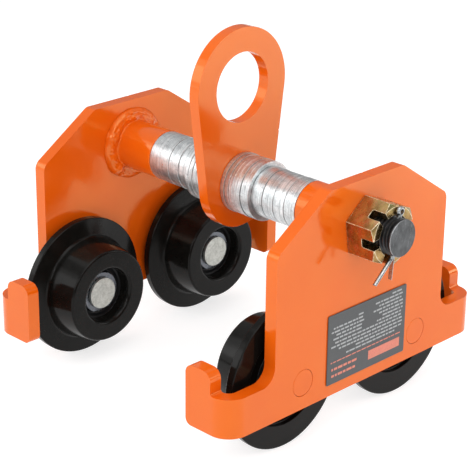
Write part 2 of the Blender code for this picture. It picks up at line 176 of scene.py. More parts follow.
def flat_body(outlines, thickness):
    """A plate in local XY with the first outline as its edge and the others as holes."""
    curve = bpy.data.curves.new("outline", "CURVE")
    curve.dimensions = "2D"
    curve.fill_mode = "BOTH"
    curve.extrude = thickness / 2
    for outline in outlines:
        spline = curve.splines.new("POLY")
        spline.points.add(len(outline) - 1)
        for point, (a, b) in zip(spline.points, outline):
            point.co = (a, b, 0, 1)
        spline.use_cyclic_u = True
    source = bpy.data.objects.new("outline", curve)
    SCENE.collection.objects.link(source)
    bpy.context.view_layer.update()
    graph = bpy.context.evaluated_depsgraph_get()
    mesh = bpy.data.meshes.new_from_object(source.evaluated_get(graph))
    bpy.data.objects.remove(source)
    body = bmesh.new()
    body.from_mesh(mesh)
    bmesh.ops.remove_doubles(body, verts=body.verts, dist=MERGE)
    bmesh.ops.dissolve_limit(
        body, angle_limit=math.radians(FLAT_ANGLE), verts=body.verts, edges=body.edges
    )
    bmesh.ops.recalc_face_normals(body, faces=body.faces)
    return body


def soften(body, size, segments=3, least=35.0, look=-1, clamp=True):
    """Rounds every edge sharper than the least angle. look is the new faces' material slot."""
    limit = math.radians(least)
    edges = [e for e in body.edges if e.is_manifold and e.calc_face_angle(0) > limit]
    bmesh.ops.bevel(
        body,
        geom=edges,
        offset=size,
        offset_type="OFFSET",
        segments=segments,
        profile=0.5,
        affect="EDGES",
        clamp_overlap=clamp,
        material=look,
    )


# Materials


class Look:
    """One procedural material, built round its own shader. Depths are in metres."""

    def __init__(self, name, colour, metallic, roughness, **values):
        self.material = bpy.data.materials.new(name)
        self.material.use_nodes = True
        self.tree = self.material.node_tree
        self.shader = self.tree.nodes["Principled BSDF"]
        self.shader.inputs["Base Color"].default_value = (*colour, 1)
        self.shader.inputs["Metallic"].default_value = metallic
        self.shader.inputs["Roughness"].default_value = roughness
        for socket, value in values.items():
            self.shader.inputs[socket.replace("_", " ")].default_value = value
        self.normal = None

    def node(self, kind, **inputs):
        made = self.tree.nodes.new(kind)
        for name, value in inputs.items():
            name = name.replace("_", " ")
            if isinstance(value, bpy.types.NodeSocket):
                self.tree.links.new(value, made.inputs[name])
            else:
                made.inputs[name].default_value = value
        return made

    def place(self, stretch=(1, 1, 1)):
        """The piece's own coordinates, stretched."""
        own = self.tree.nodes.new("ShaderNodeTexCoord").outputs["Object"]
        return self.node("ShaderNodeMapping", Vector=own, Scale=stretch).outputs["Vector"]

    def turned(self):
        """Coordinates that are the same all round the local Y axis: radius, and place on it."""
        own = self.tree.nodes.new("ShaderNodeTexCoord").outputs["Object"]
        split = self.node("ShaderNodeSeparateXYZ", Vector=own)
        flat = self.tree.nodes.new("ShaderNodeVectorMath")
        flat.operation = "MULTIPLY"
        self.tree.links.new(own, flat.inputs[0])
        flat.inputs[1].default_value = (1, 0, 1)
        radius = self.tree.nodes.new("ShaderNodeVectorMath")
        radius.operation = "LENGTH"
        self.tree.links.new(flat.outputs["Vector"], radius.inputs[0])
        join = self.tree.nodes.new("ShaderNodeCombineXYZ")
        self.tree.links.new(radius.outputs["Value"], join.inputs["X"])
        self.tree.links.new(split.outputs["Y"], join.inputs["Y"])
        return join.outputs["Vector"]

    def noise(self, scale, vector=None, detail=2.0, roughness=0.5):
        vector = vector or self.place()
        made = self.node(
            "ShaderNodeTexNoise", Vector=vector, Scale=scale, Detail=detail, Roughness=roughness
        )
        return made.outputs["Fac"]

    def between(self, factor, low, high, start=0.3, end=0.7):
        """A number that goes from low to high while the factor goes from start to end."""
        made = self.tree.nodes.new("ShaderNodeMapRange")
        self.tree.links.new(factor, made.inputs["Value"])
        made.inputs["From Min"].default_value = start
        made.inputs["From Max"].default_value = end
        made.inputs["To Min"].default_value = low
        made.inputs["To Max"].default_value = high
        return made.outputs["Result"]

    def blend(self, factor, first, second):
        """A colour between two, or between a colour and another blend."""
        made = self.tree.nodes.new("ShaderNodeMix")
        made.data_type = "RGBA"
        self.tree.links.new(factor, made.inputs["Factor"])
        for socket, value in (("A", first), ("B", second)):
            target = [s for s in made.inputs if s.name == socket and s.type == "RGBA"][0]
            if isinstance(value, bpy.types.NodeSocket):
                self.tree.links.new(value, target)
            else:
                target.default_value = (*value, 1)
        return [s for s in made.outputs if s.type == "RGBA"][0]

    def set(self, socket, value):
        self.tree.links.new(value, self.shader.inputs[socket])

    def mottle(self, first, second, scale, detail, roughness=0.5):
        """Lets the base colour drift from one colour to another."""
        drift = self.noise(scale, detail=detail, roughness=roughness)
        self.set("Base Color", self.blend(self.between(drift, 0.0, 1.0), first, second))

    def gloss(self, low, high, scale, detail=3.0):
        """Lets the roughness drift from low to high."""
        self.set("Roughness", self.between(self.noise(scale, detail=detail), low, high))

    def bump(self, height, depth, strength=1.0):
        """Adds relief on top of what is there."""
        made = self.node("ShaderNodeBump", Height=height, Distance=depth, Strength=strength)
        if self.normal:
            self.tree.links.new(self.normal, made.inputs["Normal"])
        self.normal = made.outputs["Normal"]
        self.tree.links.new(self.normal, self.shader.inputs["Normal"])


ORANGE = (0.76, 0.112, 0.0034)
ORANGE_DEEP = (0.74, 0.098, 0.0030)
ORANGE_SHEEN = (1.0, 1.0, 0.46)
BLACK = (0.0044, 0.0041, 0.0036)
BLACK_DUSTY = (0.0072, 0.0067, 0.0058)
ZINC_TONES = ((0.95, 0.975, 0.98), (0.46, 0.49, 0.50), (0.30, 0.31, 0.32))
AXLE_STEEL = (0.66, 0.67, 0.63)
AXLE_STEEL_DARK = (0.38, 0.39, 0.36)
GOLD = (0.50, 0.33, 0.13)
GOLD_DARK = (0.25, 0.15, 0.055)
ROSE = (0.52, 0.25, 0.17)
OLIVE = (0.30, 0.31, 0.13)
# Painted highlight for the nut's rounded edges: a light gold that drifts into brown at random
EDGE_HIGHLIGHT_GOLD = (0.84, 0.72, 0.50)
EDGE_HIGHLIGHT_BROWN = (0.38, 0.25, 0.11)
BARE_STEEL = (0.34, 0.35, 0.36)
FOIL = (0.078, 0.082, 0.085)
FOIL_LIGHT = (0.090, 0.094, 0.097)


def scaled(colour, share):
    return tuple(share * c for c in colour)


def orange_paint():
    look = Look("orange_gloss_paint", ORANGE, 0.0, 0.16, Specular_IOR_Level=0.72,
                Specular_Tint=(*ORANGE_SHEEN, 1))
    look.mottle(ORANGE, ORANGE_DEEP, 26.0, detail=3.0)
    look.gloss(0.08, 0.15, 55.0, detail=4.0)
    look.bump(look.noise(420.0, detail=1.5), 0.00004, 0.5)
    look.bump(look.noise(90.0, detail=1.0), 0.00012, 0.35)
    return look.material


def black_paint():
    look = Look("black_gloss_paint", (0.0058, 0.0054, 0.0047), 0.0, 0.15,
                Specular_IOR_Level=0.135)
    look.mottle(BLACK, BLACK_DUSTY, 140.0, detail=5.0)
    look.gloss(0.09, 0.20, 60.0, detail=4.0)
    look.bump(look.noise(1500.0, look.turned(), detail=2.0), 0.000012, 0.5)
    look.bump(look.noise(380.0, detail=1.5), 0.00003, 0.35)
    return look.material


def zinc(name, low=0.27, high=0.42, tone=1.0, metallic=0.90, grooves=0.0):
    """low and high bound the roughness. grooves is the depth of the coarser turning marks."""
    look = Look(name, (0.76, 0.77, 0.78), metallic, 0.3)
    bright, dull, stain = (scaled(colour, tone) for colour in ZINC_TONES)
    rings = look.turned()
    lines = look.noise(1500.0, rings, detail=4.0, roughness=0.75)
    patch = look.noise(210.0, detail=5.0, roughness=0.65)
    marks = look.noise(520.0, look.place((1.0, 0.45, 1.0)), detail=4.0, roughness=0.7)
    tint = look.blend(look.between(lines, 0.0, 1.0, 0.40, 0.62), bright, dull)
    wear_and_highlight = look.blend(look.between(patch, 0.0, 0.75, 0.40, 0.66), tint, dull)
    if grooves:
        coarse = look.noise(760.0, rings, detail=3.0, roughness=0.8)
        wear_and_highlight = look.blend(look.between(coarse, 0.0, 0.5, 0.54, 0.64), wear_and_highlight, stain)
        look.bump(coarse, grooves, 1.0)
    look.set("Base Color", look.blend(look.between(marks, 0.0, 0.8, 0.56, 0.72), wear_and_highlight, stain))
    look.gloss(low, high, 700.0, detail=4.0)
    look.bump(look.noise(1300.0, rings, detail=3.0, roughness=0.65), 0.00005, 0.8)
    look.bump(look.noise(420.0, look.place((1.0, 0.5, 1.0)), detail=4.0), 0.00007, 0.6)
    return look.material


def axle_steel():
    look = Look("axle_end_steel", (0.62, 0.61, 0.59), 0.85, 0.5)
    look.mottle(AXLE_STEEL, AXLE_STEEL_DARK, 420.0, detail=5.0, roughness=0.75)
    look.gloss(0.42, 0.60, 300.0)
    look.bump(look.noise(1100.0, detail=3.0), 0.00003, 0.5)
    return look.material


def dark_steel():
    look = Look("bearing_dark_steel", (0.15, 0.16, 0.18), 1.0, 0.28)
    look.gloss(0.20, 0.36, 400.0)
    look.bump(look.noise(2500.0, look.turned(), detail=2.0), 0.00001, 0.5)
    return look.material


def seal_rubber():
    look = Look("bearing_seal_rubber", (0.008, 0.008, 0.009), 0.0, 0.42,
                Specular_IOR_Level=0.35)
    look.gloss(0.34, 0.50, 500.0)
    look.bump(look.noise(1800.0, look.turned(), detail=1.0), 0.00002, 0.4)
    return look.material


def yellow_zinc():
    """Passivated plate, whose gold runs into rose and olive patches."""
    look = Look("yellow_zinc_plate", (0.60, 0.42, 0.20), 1.0, 0.25)
    wide = look.noise(75.0, detail=3.0)
    second = look.noise(130.0, look.place((1, 1.6, 0.8)), detail=3.0)
    tint = look.blend(look.between(wide, 0.0, 1.0, 0.38, 0.60), GOLD, GOLD_DARK)
    tint = look.blend(look.between(second, 0.0, 0.8, 0.52, 0.70), tint, ROSE)
    tint = look.blend(look.between(second, 0.7, 0.0, 0.30, 0.44), tint, OLIVE)
    look.set("Base Color", tint)
    look.gloss(0.18, 0.34, 220.0, detail=4.0)
    scratch = look.noise(620.0, look.place((1.8, 0.16, 1.8)), detail=5.0, roughness=0.7)
    look.bump(scratch, 0.00011, 0.8)
    look.bump(look.noise(170.0, detail=3.0), 0.00016, 0.4)
    return look.material


def edge_highlight_paint():
    # A light colour for the nut's rounded edges, which paints a highlight along them
    look = Look("yellow_zinc_edge_highlight", (0.92, 0.82, 0.62), 0.35, 0.35)
    patch = look.noise(330.0, detail=4.0, roughness=0.7)
    wear_and_highlight = look.blend(look.between(patch, 0.0, 1.0, 0.40, 0.62), EDGE_HIGHLIGHT_GOLD, EDGE_HIGHLIGHT_BROWN)
    look.set("Base Color", wear_and_highlight)
    look.gloss(0.26, 0.44, 500.0)
    look.bump(look.noise(700.0, detail=3.0), 0.00004, 0.6)
    return look.material


def black_oxide(name, colour, low, high, wear_and_highlight=0.0):
    """low and high bound the roughness. worn is how much bare metal the scratches show."""
    look = Look(name, colour, 0.9, low)
    smear = look.noise(190.0, look.place((1.0, 1.0, 0.6)), detail=7.0, roughness=0.65)
    base = look.blend(look.between(smear, 0.0, 1.0), colour, scaled(colour, 2.2))
    if wear_and_highlight:
        scratch = look.noise(330.0, look.place((2.6, 1.0, 0.26)), detail=6.0, roughness=0.75)
        base = look.blend(look.between(scratch, 0.0, wear_and_highlight, 0.58, 0.70), base, BARE_STEEL)
    look.set("Base Color", base)
    look.gloss(low, high, 240.0, detail=4.0)
    look.bump(look.noise(900.0, detail=3.0), 0.00003, 0.4)
    look.bump(look.noise(1400.0, look.place((1.0, 1.0, 0.12)), detail=3.0), 0.00002, 0.4)
    return look.material


def label_foil():
    look = Look("label_grey_foil", (0.082, 0.086, 0.089), 0.0, 0.42, Specular_IOR_Level=0.3)
    look.gloss(0.38, 0.48, 300.0)
    look.mottle(FOIL, FOIL_LIGHT, 2200.0, detail=2.0)
    return look.material


def ink(name, colour):
    look = Look(name, colour, 0.0, 0.5)
    look.mottle(colour, scaled(colour, 0.86), 900.0, detail=2.0)
    return look.material


LOOKS = {
    "orange": orange_paint(),
    "black": black_paint(),
    "spacer": zinc("zinc_turned"),
    "washer": zinc("zinc_grooved", grooves=0.00014),
    "pin": zinc("zinc_pin", 0.24, 0.38, 0.62, 1.0),
    "axle": axle_steel(),
    "race": dark_steel(),
    "seal": seal_rubber(),
    "yellow": yellow_zinc(),
    # The nut's edge colour is a painted highlight
    "yellow_edge_highlight": edge_highlight_paint(),
    "thread": black_oxide("black_oxide_thread", (0.030, 0.030, 0.031), 0.26, 0.42),
    "thread_end": black_oxide("black_oxide_end", (0.058, 0.060, 0.062), 0.34, 0.52, 0.9),
    # A lighter colour for the shaft end's chamfer, a painted highlight round its rim
    "thread_edge_highlight": black_oxide("black_oxide_edge_highlight", (0.17, 0.173, 0.178), 0.30, 0.45),
    "label": label_foil(),
    "ink": ink("ink_light", (0.40, 0.415, 0.42)),
    "ink_warm": ink("ink_warm", (0.72, 0.22, 0.15)),
}

# Side plates

PLATE_HEIGHT = 0.154
PLATE_HALF = 0.088
TOP_HALF = 0.0375
TOP_CORNER_R = 0.006
SHOULDER_HEIGHT = 0.1205
SHOULDER_CORNER_R = 0.008
ARM_HEIGHT = 0.029
ARM_REACH = 0.1315
ARM_FILLET_R = 0.012
BEND_INNER_R = 0.006
BEND_OUTER_R = BEND_INNER_R + PLATE_THICKNESS
BEND_MIDDLE_R = BEND_INNER_R + PLATE_THICKNESS / 2
BEND_LENGTH = BEND_MIDDLE_R * math.pi / 2
BEND_START = ARM_REACH - BEND_OUTER_R
BEND_CUTS = 18
TAB_DEPTH = 0.041
TAB_CORNER_R = 0.005
FINGER_WIDTH = 0.0236
FINGER_HEIGHT = 0.0455
FINGER_CORNER_R = 0.007
FINGER_ROOT_R = 0.002
PAINTED_EDGE = 0.0007
NOTCH_AT = 0.004
NOTCH_WIDTH = 0.0016
NOTCH_DEPTH = 0.0005
RIVET_R = 0.0100
RIVET_EDGE = 0.0004
RIVET_SHANK_R = 0.0097
RIVET_HOLE_R = 0.0100


def fold(body, inwards):
    """Folds both ends of the blank round their bend lines."""
    for end in ENDS.values():
        for k in range(BEND_CUTS + 1):
            line = end * (BEND_START + BEND_LENGTH * k / BEND_CUTS)
            everything = body.verts[:] + body.edges[:] + body.faces[:]
            bmesh.ops.bisect_plane(
                body, geom=everything, dist=MERGE, plane_co=(line, 0, 0), plane_no=(1, 0, 0)
            )
    for vert in body.verts:
        along, height, depth = vert.co
        depth += PLATE_THICKNESS / 2
        past = min(max(abs(along) - BEND_START, 0), BEND_LENGTH)
        beyond = max(abs(along) - BEND_START - BEND_LENGTH, 0)
        radius = BEND_OUTER_R - depth
        angle = past / BEND_MIDDLE_R
        x = min(abs(along), BEND_START) + radius * math.sin(angle)
        inward = BEND_OUTER_R - radius * math.cos(angle) + beyond
        vert.co = (math.copysign(x, along), inwards * inward, height)


def side_plate(side_name):
    """The folded plate, with a small witness notch of the cutting torch in its top edge."""
    side = SIDES[side_name]
    blank_half = BEND_START + BEND_LENGTH + TAB_DEPTH - BEND_OUTER_R
    finger_in = blank_half - FINGER_WIDTH
    half = [
        (blank_half, 0, TAB_CORNER_R),
        (blank_half, FINGER_HEIGHT, FINGER_CORNER_R),
        (finger_in, FINGER_HEIGHT, FINGER_CORNER_R),
        (finger_in, ARM_HEIGHT, FINGER_ROOT_R),
        (PLATE_HALF, ARM_HEIGHT, ARM_FILLET_R),
        (PLATE_HALF, SHOULDER_HEIGHT, SHOULDER_CORNER_R),
        (TOP_HALF, PLATE_HEIGHT, TOP_CORNER_R),
    ]
    notch = [
        (NOTCH_AT + NOTCH_WIDTH, PLATE_HEIGHT, 0),
        (NOTCH_AT + NOTCH_WIDTH / 2, PLATE_HEIGHT - NOTCH_DEPTH, 0),
        (NOTCH_AT, PLATE_HEIGHT, 0),
    ]
    mirrored = [(-a, b, radius) for a, b, radius in reversed(half)]
    holes = [circle(end * AXLE_OFFSET, AXLE_Z - EDGE_Z, RIVET_HOLE_R) for end in ENDS.values()]
    holes.append(circle(0, SHAFT_Z - EDGE_Z, SHAFT_R + SEAT))
    body = flat_body([rounded(half + notch + mirrored), *holes], PLATE_THICKNESS)
    fold(body, -side)
    soften(body, PAINTED_EDGE)
    name = f"plate_{side_name}"
    place = (0, MIDDLE_Y + side * OUTER_FACE, EDGE_Z)
    piece(name, finished(body, name), "frame",
          [f"side_plate_{side_name}"], place, [LOOKS["orange"]])


# Sleeves with their weld beads. Shares run across the bead, from the sleeve to its outer edge.

SLEEVE_R = 0.019
SLEEVE_LENGTH = 0.0396
SLEEVE_BORE_EDGE = 0.0004
SLEEVE_OUTER_EDGE = 0.0006
BEAD_WIDTH = 0.0096
BEAD_HEIGHT = 0.0052
BEAD_STEPS = 30
BEAD_CREST = 0.40
BEAD_DIP = 0.12
BEAD_CLIMB, BEAD_CLIMB_SHARE = 0.42, 0.035
BEAD_REACH = 1.6 * BEAD_HEIGHT
BEAD_SIZE = 0.98
BEAD_SPREAD = 0.15
# Noise places: cells round the bead, across it, and from one side's bead to the other's
SWELL_CELLS = (1.9, 0.0, 4.0)
RIPPLE_CELLS = (5.0, 2.2, 7.0)
# Noise octaves: scale and amount
SWELLS = ((1.0, 0.10), (3.1, 0.10))
RIPPLES = ((1.0, 0.16), (2.7, 0.07))
EDGE_WANDER = ((1.5, 0.035),)
# Lumps: degrees, width in radians, and how much thicker they are
BEAD_LUMPS = ((157, 0.20, 0.20), (219, 0.17, 0.34), (330, 0.25, 0.15))
# The thin stretch: where it starts and ends, and how gently, in degrees
GAP_START, GAP_RISE = 233, 2.2
GAP_END, GAP_FALL = 300, 6.0
GAP_SIZE = 0.45
# The seam between the two passes: its middle and reach in degrees, its share, width and depth
SEAM_AT, SEAM_REACH = 95, 50
SEAM_SHARE, SEAM_WIDTH, SEAM_DEPTH = 0.60, 0.10, 0.16


def grain(t, side, share, cells, octaves):
    """Noise on the bead at an angle and a share of its width."""
    around, across, apart = cells
    spot = Vector((around * math.cos(t), around * math.sin(t), across * share + apart * side))
    return sum(amount * noise.noise(spot * scale) for scale, amount in octaves)


def bead_size(t, side):
    """How thick the bead is at an angle: its lumps, and the thin stretch where it stops."""
    degrees = math.degrees(t)
    size = BEAD_SIZE + grain(t, side, 0, SWELL_CELLS, SWELLS)
    for at, width, more in BEAD_LUMPS:
        size += more * math.exp(-((math.radians(degrees - at) / width) ** 2))
    rise = 1 / (1 + math.exp(-(degrees - GAP_START) / GAP_RISE))
    fall = 1 / (1 + math.exp((degrees - GAP_END) / GAP_FALL))
    return size * (1 - (1 - GAP_SIZE) * rise * fall)


def bead_shape(side):
    """Moves the bead's points so that it runs in lumps, with a seam between its two passes."""

    def shape(point, radius, y, t):
        height = INNER_FACE - side * (y - MIDDLE_Y)
        share = (radius - SLEEVE_R) / BEAD_WIDTH
        if share < 0.001 or height > BEAD_REACH:
            return point
        size = bead_size(t, side)
        ripple = grain(t, side, share, RIPPLE_CELLS, RIPPLES) * math.sin(math.pi * share)
        along = (math.degrees(t) - SEAM_AT) / SEAM_REACH
        across = (share - SEAM_SHARE) / SEAM_WIDTH
        seam = SEAM_DEPTH * math.exp(-(along**2) - across**2)
        height = max(SEAT, height * (size + ripple - seam))
        wander = grain(t, side, share, RIPPLE_CELLS, EDGE_WANDER)
        spread = 1 - BEAD_SPREAD + BEAD_SPREAD * size + wander
        wide = SLEEVE_R + (radius - SLEEVE_R) * spread
        y = MIDDLE_Y + side * (INNER_FACE - height)
        return Vector((wide * math.cos(t), y, wide * math.sin(t)))

    return shape


def sleeve(side_name):
    side = SIDES[side_name]
    top = SLEEVE_LENGTH + SEAT
    profile = rounded(
        [
            (SHAFT_R + SEAT, SEAT, 0),
            (SHAFT_R + SEAT, top, SLEEVE_BORE_EDGE),
            (SLEEVE_R, top, SLEEVE_OUTER_EDGE),
            (SLEEVE_R, 2 * BEAD_HEIGHT, 0),
        ],
        steps=6,
        closed=False,
    )
    for k in range(BEAD_STEPS + 1):
        share = k / BEAD_STEPS
        past = max(share - BEAD_CREST, 0) / (1 - BEAD_CREST)
        before = max(BEAD_CREST - share, 0) / BEAD_CREST
        crown = math.sqrt(1 - past**2) - BEAD_DIP * before**2
        climb = BEAD_CLIMB * math.exp(-share / BEAD_CLIMB_SHARE) * (1 - share)
        height = BEAD_HEIGHT * (crown + climb)
        profile.append((SLEEVE_R + BEAD_WIDTH * share, max(SEAT, height)))
    base = MIDDLE_Y + side * INNER_FACE
    profile = [(radius, base - side * height) for radius, height in profile]
    body = revolved(profile, FINE * 2, shape=bead_shape(side))
    name = f"tube_{side_name}"
    piece(name, finished(body, name, sharp=60.0), "frame",
          [f"sleeve_{side_name}"], (0, 0, SHAFT_Z), [LOOKS["orange"]])


# Rings on the shaft

# How many a side, how much the radius varies, the edge's size and the gap left at each face
RINGS = {
    "spacer": (4, 0.00022, 0.00024, 0.00004),
    "washer": (7, 0.00045, 0.00026, 0.00001),
}
RING_OFF_CENTRE = 0.00012
RING_BORE_GAP = 0.0002
RING_EDGE_SPREAD = (0.8, 1.3)


def shaft_rings():
    """Spacers and washers, each a little out of round with the shaft as loose rings lie."""
    random.seed(11)
    for kind, (count, uneven, edge_size, gap) in RINGS.items():
        for side_name in SIDES:
            for k in range(1, count + 1):
                node = f"{kind}_{side_name}_{k}"
                low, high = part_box(node)
                outer = (high.x - low.x) / 2 - random.uniform(0, uneven)
                x, z = (random.uniform(-1, 1) * RING_OFF_CENTRE for _ in "xz")
                edge = edge_size * random.uniform(*RING_EDGE_SPREAD)
                inner = SHAFT_R + RING_BORE_GAP
                a, b = low.y + gap, high.y - gap
                profile = rounded(
                    [(inner, b, 0), (outer, b, edge), (outer, a, edge), (inner, a, 0)], FILLET
                )
                name = f"{node}_ring"
                mesh = finished(revolved(profile, FINE), name, sharp=50.0)
                piece(name, mesh, "frame", [node], (x, 0, SHAFT_Z + z), [LOOKS[kind]])


# Wheels and what holds them. Heights are above the plate's inner face.

FLANGE_R = 0.054
FLANGE_EDGE = 0.0009
FLANGE_FRONT = 0.011
WHEEL_BACK = 0.005
TREAD_ROOT_R = 0.040
TREAD_TIP_R = 0.036
TREAD_TIP_EDGE = 0.0018
TREAD_START = 0.0135
TREAD_END = 0.0385
ROOT_RISE, ROOT_FILLET = 0.0010, 0.0020
ROOT_STEP, ROOT_STEP_FILLET = 0.0014, 0.0008
HUB_OPENING_R = 0.021
HUB_MOUTH_R = 0.003
RECESS_R = 0.037
RECESS_END = 0.0085
RECESS_EDGE, RECESS_CORNER, RECESS_BORE_EDGE = 0.0006, 0.0010, 0.0005
BEARING_R = 0.026
BEARING_FRONT = 0.0275
BEARING_BACK = 0.0125
BEARING_EDGE = 0.0005
RACE_R = 0.016
RACE_EDGE = 0.0004
RACE_GAP = 0.0003
# The seal's face: distance out from the race, depth below the ring's face, and fillet
SEAL_FACE = (
    (RACE_GAP, 0.0008, 0.0003),
    (0.0012, 0.0005, 0.0003),
    (0.0040, 0.0011, 0.0008),
    (0.0056, 0.0007, 0.0004),
    (0.0062, 0.0, 0.0003),
)
BORE_R = 0.0125
AXLE_PROUD = 0.0045
AXLE_EDGE = 0.00045
GROOVE_DEPTH = 0.001
GROOVE_EDGE = 0.0002
CLIP_THICKNESS = 0.0015
CLIP_EDGE = 0.0002
CLIP_ARC = (-65, 245)
CLIP_STEPS = 60
AXLE_CLIP_RADII = (0.0158, 0.0115)
BORE_CLIP_RADII = (0.0270, 0.0228)


def wheel_profile():
    return rounded(
        [
            (TREAD_TIP_R, TREAD_END, TREAD_TIP_EDGE),
            (TREAD_ROOT_R, TREAD_START + ROOT_RISE, ROOT_FILLET),
            (TREAD_ROOT_R + ROOT_STEP, TREAD_START, ROOT_STEP_FILLET),
            (FLANGE_R, FLANGE_FRONT, FLANGE_EDGE),
            (FLANGE_R, WHEEL_BACK, FLANGE_EDGE),
            (RECESS_R, WHEEL_BACK, RECESS_EDGE),
            (RECESS_R, RECESS_END, RECESS_CORNER),
            (BEARING_R + SEAT, RECESS_END, RECESS_BORE_EDGE),
            (BEARING_R + SEAT, BEARING_FRONT + SEAT, 0),
            (HUB_OPENING_R, BEARING_FRONT + SEAT, 0),
            (HUB_OPENING_R, TREAD_END, HUB_MOUTH_R),
        ],
        steps=8,
    )


def seal_profile():
    """The bearing's outer ring, with its seal set a little below the ring's face."""
    ring = [
        (BEARING_R, BEARING_FRONT, BEARING_EDGE),
        (BEARING_R, BEARING_BACK, BEARING_EDGE),
        (RACE_R + RACE_GAP, BEARING_BACK, 0),
    ]
    face = [(RACE_R + out, BEARING_FRONT - depth, fillet) for out, depth, fillet in SEAL_FACE]
    return rounded(ring + face, steps=FILLET)


def race_profile():
    return rounded(
        [
            (BORE_R, BEARING_FRONT, BEARING_EDGE),
            (RACE_R, BEARING_FRONT, RACE_EDGE),
            (RACE_R, BEARING_BACK, RACE_EDGE),
            (BORE_R, BEARING_BACK, BEARING_EDGE),
        ],
        steps=FILLET,
    )


def axle_profile():
    """The end that shows in the hub, the ring's groove, the seat, the collar and the rivet."""
    end = BEARING_FRONT + AXLE_PROUD
    seat_r = BORE_R - SEAT
    groove_r = seat_r - GROOVE_DEPTH
    groove_top = BEARING_FRONT + SEAT + CLIP_THICKNESS + SEAT
    return rounded(
        [
            (0, end, 0),
            (seat_r, end, AXLE_EDGE),
            (seat_r, groove_top, GROOVE_EDGE),
            (groove_r, groove_top, 0),
            (groove_r, BEARING_FRONT, 0),
            (seat_r, BEARING_FRONT, GROOVE_EDGE),
            (seat_r, BEARING_BACK - SEAT, 0),
            (RACE_R, BEARING_BACK - SEAT, BEARING_EDGE),
            (RACE_R, SEAT, 0),
            (RIVET_SHANK_R, SEAT, 0),
            (RIVET_SHANK_R, PAINTED_EDGE - PLATE_THICKNESS, 0),
            (RIVET_R, -PLATE_THICKNESS, RIVET_EDGE),
            (0, -PLATE_THICKNESS, 0),
        ],
        steps=5,
        closed=False,
    )


def clip_body(radii, lift):
    """An open spring ring, moved along Y."""
    outer_r, inner_r = radii
    start, end = CLIP_ARC
    outline = arc(outer_r, start, end, CLIP_STEPS) + arc(inner_r, end, start, CLIP_STEPS)
    body = flat_body([outline], CLIP_THICKNESS)
    soften(body, CLIP_EDGE, 2)
    stand(body)
    bmesh.ops.translate(body, vec=(0, lift, 0), verts=body.verts)
    return body


def wheel_set(side_name, end_name):
    """A wheel with its bearing, axle and spring rings."""
    side = SIDES[side_name]
    tail = f"{side_name}_{end_name}"
    roller = f"roller_{tail}"
    place = (ENDS[end_name] * AXLE_OFFSET, MIDDLE_Y + side * INNER_FACE, AXLE_Z)

    def turned(name, profile, steps, rides, node, looks, closed=True):
        profile = [(radius, -side * height) for radius, height in profile]
        name = f"{name}_{tail}"
        mesh = finished(revolved(profile, steps, closed), name, sharp=50.0)
        return piece(name, mesh, rides, [f"{node}_{tail}"], place, looks)

    turned("rim", wheel_profile(), FINE, roller, "wheel", [LOOKS["black"]])
    turned("seal", seal_profile(), MEDIUM, roller, "bearing_outer",
           [LOOKS["seal"]])
    turned("race", race_profile(), MEDIUM, "frame", "bearing_inner",
           [LOOKS["race"]])
    stub = turned("stub", axle_profile(), MEDIUM, "frame", "axle",
                  [LOOKS["axle"], LOOKS["orange"]], closed=False)
    for face in stub.data.polygons:
        if side * face.center.y > PLATE_THICKNESS / 2:
            face.material_index = 1

    for node, radii, height, rides in (
        (f"axle_ring_{tail}", AXLE_CLIP_RADII, BEARING_FRONT + SEAT, "frame"),
        (f"bore_ring_{tail}", BORE_CLIP_RADII, BEARING_BACK - SEAT - CLIP_THICKNESS, roller),
    ):
        body = clip_body(radii, -side * (height + CLIP_THICKNESS / 2))
        name = f"{node}_clip"
        piece(name, finished(body, name), rides, [node], place, [LOOKS["race"]])


# Eye plate

EYE_THICKNESS = 0.009
EYE_HEIGHT = 0.0716
EYE_R = 0.044
EYE_HOLE_R = 0.026
EYE_FOOT_R = 0.0344
EYE_BORE_GAP = 0.0004
EYE_EDGE = 0.0005
NICK_AT = 0.036
NICK_BEFORE, NICK_AFTER = 0.0010, 0.0008
NICK_DEPTH = 0.0006


def eye_plate():
    """Head, foot and straight sides, with a small nick in the side that leads to the head."""
    lean = math.degrees(math.asin((EYE_R - EYE_FOOT_R) / EYE_HEIGHT))
    head = [(a, b + EYE_HEIGHT) for a, b in arc(EYE_R, -lean, 180 + lean, 90)]
    foot = arc(EYE_FOOT_R, 180 + lean, 360 - lean, 64)
    first = Vector(foot[-1])
    along = (Vector(head[0]) - first).normalized()
    out = Vector((along.y, -along.x))
    at = first + along * NICK_AT
    nick = [
        tuple(at - along * NICK_BEFORE),
        tuple(at - out * NICK_DEPTH),
        tuple(at + along * NICK_AFTER),
    ]
    holes = [circle(0, EYE_HEIGHT, EYE_HOLE_R, FINE), circle(0, 0, SHAFT_R + EYE_BORE_GAP)]
    body = flat_body([head + foot + nick, *holes], EYE_THICKNESS)
    soften(body, EYE_EDGE)
    stand(body)
    piece("lifting_eye", finished(body, "eye"), "eye", ["eye_plate"],
          (0, MIDDLE_Y, SHAFT_Z), [LOOKS["orange"]])


# Load shaft, with a real thread where it shows

PITCH = 0.003
THREAD_DEPTH = 0.0017
THREAD_CREST, THREAD_ROOT = 0.14, 0.16
THREAD_GAP = 0.00005
THREAD_INNER = OUTER_FACE + 0.006
SHAFT_END = OUTER_FACE + 0.0323
SHAFT_CHAMFER = 0.0005
END_BAND = 0.0016
END_BAND_GAP = 0.0001
END_FACE_RIM = 0.0003
END_FACE_DEPTH = 0.00001
PER_PITCH = 14
AROUND = 120
# The weld round the shaft's tail: radius, and height above the far plate
TAIL_WELD = (
    (SHAFT_R, SEAT),
    (0.0184, SEAT),
    (0.0180, 0.0012),
    (0.0164, 0.0026),
    (0.0146, 0.0036),
    (0.0130, 0.0043),
    (0.0, 0.0043),
)
SHAFT_LOOKS = ("thread", "thread_end", "orange", "thread_edge_highlight")


